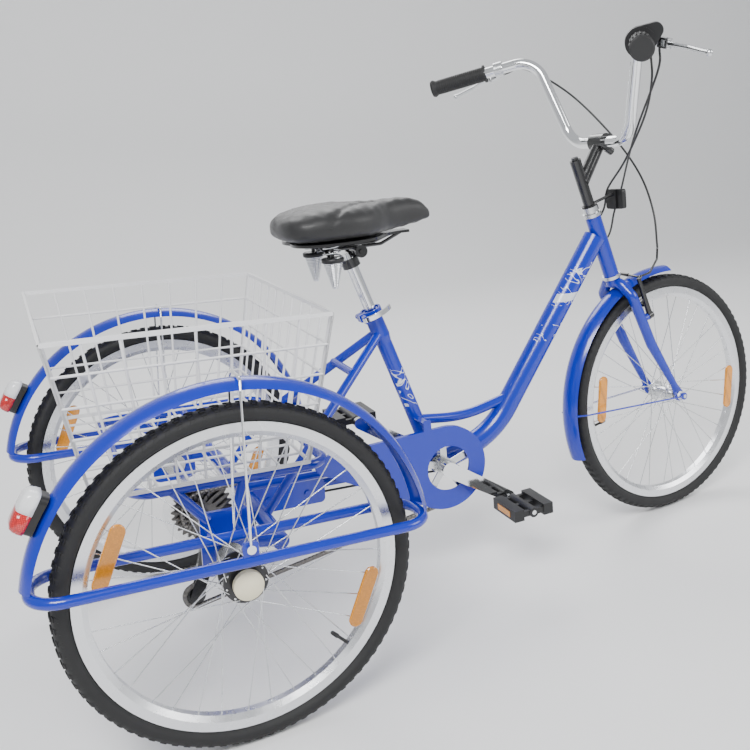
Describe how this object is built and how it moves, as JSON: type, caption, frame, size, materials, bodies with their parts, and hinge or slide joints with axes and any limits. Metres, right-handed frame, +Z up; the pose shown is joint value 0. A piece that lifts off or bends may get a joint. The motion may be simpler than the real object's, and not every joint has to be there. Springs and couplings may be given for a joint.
{
  "type": "adult tricycle",
  "caption": "Step-through adult tricycle with two spoked rear wheels under mudguards, a wire cargo basket, a high-rise handlebar and derailleur chain drive.",
  "frame": {"origin": "on the ground under the middle of the overall length, on the centreline", "axes": "+X forwards, +Y to the rider's left, +Z up"},
  "size_m": [1.806, 0.8629, 1.1713],
  "materials": {
    "blue_paint": "gloss royal blue enamel",
    "chrome": "polished",
    "bright_steel": "bright zinc plated",
    "aluminium": "polished rim",
    "black_paint": "semi-gloss black",
    "black_plastic": "moulded, satin",
    "tyre": "matt tread with a smooth sidewall",
    "grip_rubber": "ribbed",
    "saddle_vinyl": "soft grained vinyl",
    "cream_plastic": "moulded cap",
    "amber": "prismatic reflector",
    "lamp_lens": "red and clear lens",
    "white_coating": "white plastic-dipped wire",
    "cable_black": "cable housing",
    "sprocket_steel": "oiled steel"
  },
  "bodies": {
    "frame": {"main_frame": "blue_paint", "frame_bearings": "bright_steel", "seat_clamp": "blue_paint", "rear_carrier": "blue_paint", "rear_hoops": "blue_paint", "rear_fenders": "blue_paint", "fender_stays": "bright_steel", "basket": "white_coating", "tail_lamp_bases": "black_plastic", "tail_lamp_lenses": "lamp_lens", "chain_guard": "blue_paint", "chain": "sprocket_steel", "derailleur_body": "black_paint", "lower_cables": "cable_black", "upper_cables": "cable_black"},
    "steering": {"fork": "blue_paint", "front_axle": "bright_steel", "front_fender": "blue_paint", "headset_locknut": "bright_steel", "stem": "black_paint", "handlebar": "chrome", "grips": "grip_rubber", "lever_brackets": "chrome", "shifter_housing": "black_plastic", "front_reflector": "black_plastic", "front_brake_cable": "cable_black"},
    "front_wheel": {"front_tyre": "tyre", "front_rim": "aluminium", "front_hub": "bright_steel", "front_spokes": "bright_steel", "front_reflectors": "amber"},
    "rear_left_wheel": {"rear_left_tyre": "tyre", "rear_left_rim": "aluminium", "rear_left_hub": "black_plastic", "rear_left_spokes": "bright_steel", "rear_left_reflectors": "amber", "rear_left_hub_cap": "cream_plastic"},
    "rear_right_wheel": {"rear_right_tyre": "tyre", "rear_right_rim": "aluminium", "rear_right_hub": "black_plastic", "rear_right_spokes": "bright_steel", "rear_right_reflectors": "amber", "rear_right_hub_cap": "cream_plastic", "rear_axle": "bright_steel"},
    "crank": {"chainring": "bright_steel", "cranks": "chrome"},
    "right_pedal": {"right_pedal": "black_plastic"},
    "left_pedal": {"left_pedal": "black_plastic"},
    "freewheel": {"freewheel": "sprocket_steel"},
    "derailleur_cage": {"derailleur_cage": "black_paint"},
    "left_brake_lever": {"left_brake_lever": "chrome"},
    "right_brake_lever": {"right_brake_lever": "black_plastic"},
    "left_brake_arm": {"left_brake_arm": "black_plastic"},
    "right_brake_arm": {"right_brake_arm": "black_plastic"},
    "twist_shifter": {"twist_shifter": "grip_rubber"},
    "saddle": {"seat_post": "chrome", "saddle_base": "black_paint", "saddle_cover": "saddle_vinyl", "saddle_springs": "chrome"},
    "seat_clamp_lever": {"seat_clamp_lever": "chrome"}
  },
  "joints": [
    {"name": "steering_turn", "type": "hinge", "parent": "frame", "child": "steering", "pos_m": [0.451, 0, 0.624], "axis": [-0.309, 0, 0.9511], "range_deg": [-45, 30], "deforming": ["upper_cables"]},
    {"name": "front_wheel_spin", "type": "hinge", "parent": "steering", "child": "front_wheel", "pos_m": [0.60643, 0.00611, 0.29988], "axis": [-0.1208, 0.9919, -0.0393], "continuous": true},
    {"name": "rear_left_wheel_spin", "type": "hinge", "parent": "frame", "child": "rear_left_wheel", "pos_m": [-0.57, 0.3644, 0.3], "axis": [0, 1, 0], "continuous": true},
    {"name": "rear_right_wheel_spin", "type": "hinge", "parent": "frame", "child": "rear_right_wheel", "pos_m": [-0.57, -0.3644, 0.3], "axis": [0, 1, 0], "continuous": true},
    {"name": "crank_spin", "type": "hinge", "parent": "frame", "child": "crank", "pos_m": [-0.049, 0, 0.273], "axis": [0, 1, 0], "continuous": true},
    {"name": "right_pedal_spin", "type": "hinge", "parent": "crank", "child": "right_pedal", "pos_m": [0.09194, -0.14, 0.17794], "axis": [0, 1, 0], "continuous": true},
    {"name": "left_pedal_spin", "type": "hinge", "parent": "crank", "child": "left_pedal", "pos_m": [-0.18994, 0.135, 0.36806], "axis": [0, 1, 0], "continuous": true},
    {"name": "freewheel_spin", "type": "hinge", "parent": "frame", "child": "freewheel", "pos_m": [-0.57, -0.054, 0.3], "axis": [0, 1, 0], "continuous": true},
    {"name": "derailleur_cage_swing", "type": "hinge", "parent": "frame", "child": "derailleur_cage", "pos_m": [-0.578, -0.054, 0.191], "axis": [0, 1, 0], "range_deg": [-14, 20], "stiffness_Nm_per_rad": 0.6, "deforming": ["chain"]},
    {"name": "left_brake_squeeze", "type": "hinge", "parent": "steering", "child": "left_brake_lever", "pos_m": [0.32324, 0.30585, 1.10306], "axis": [-0.0403, 0.2938, 0.955], "range_deg": [0, 22], "stiffness_Nm_per_rad": 0.8, "springref_deg": -20.05},
    {"name": "right_brake_squeeze", "type": "hinge", "parent": "steering", "child": "right_brake_lever", "pos_m": [0.39575, -0.28929, 1.12662], "axis": [-0.0222, 0.2195, -0.9753], "range_deg": [0, 22], "stiffness_Nm_per_rad": 0.8, "springref_deg": -20.05},
    {"name": "left_brake_arm_swing", "type": "hinge", "parent": "steering", "child": "left_brake_arm", "pos_m": [0.5175, 0.05218, 0.51499], "axis": [0.9433, 0.1271, 0.3065], "range_deg": [0, 4.5]},
    {"name": "right_brake_arm_swing", "type": "hinge", "parent": "steering", "child": "right_brake_arm", "pos_m": [0.5291, -0.04304, 0.51876], "axis": [0.9433, 0.1271, 0.3065], "range_deg": [-4.5, 0], "deforming": ["front_brake_cable"]},
    {"name": "gear_twist", "type": "hinge", "parent": "steering", "child": "twist_shifter", "pos_m": [0.32677, -0.2933, 1.12691], "axis": [-0.5864, -0.7978, -0.1402], "range_deg": [-60, 60]},
    {"name": "seat_height", "type": "slide", "parent": "frame", "child": "saddle", "axis": [-0.3091, 0, 0.951], "range_m": [-0.06, 0.07]},
    {"name": "seat_clamp_open", "type": "hinge", "parent": "frame", "child": "seat_clamp_lever", "pos_m": [-0.18887, -0.029, 0.61926], "axis": [-0.3091, 0, 0.951], "range_deg": [-150, 0]}
  ],
  "couplings": [
    {"joint": "freewheel_spin", "follows": "crank_spin", "ratio": 2.1},
    {"joint": "left_brake_arm_swing", "follows": "left_brake_squeeze", "ratio": 0.19},
    {"joint": "right_brake_arm_swing", "follows": "left_brake_squeeze", "ratio": -0.19}
  ]
}
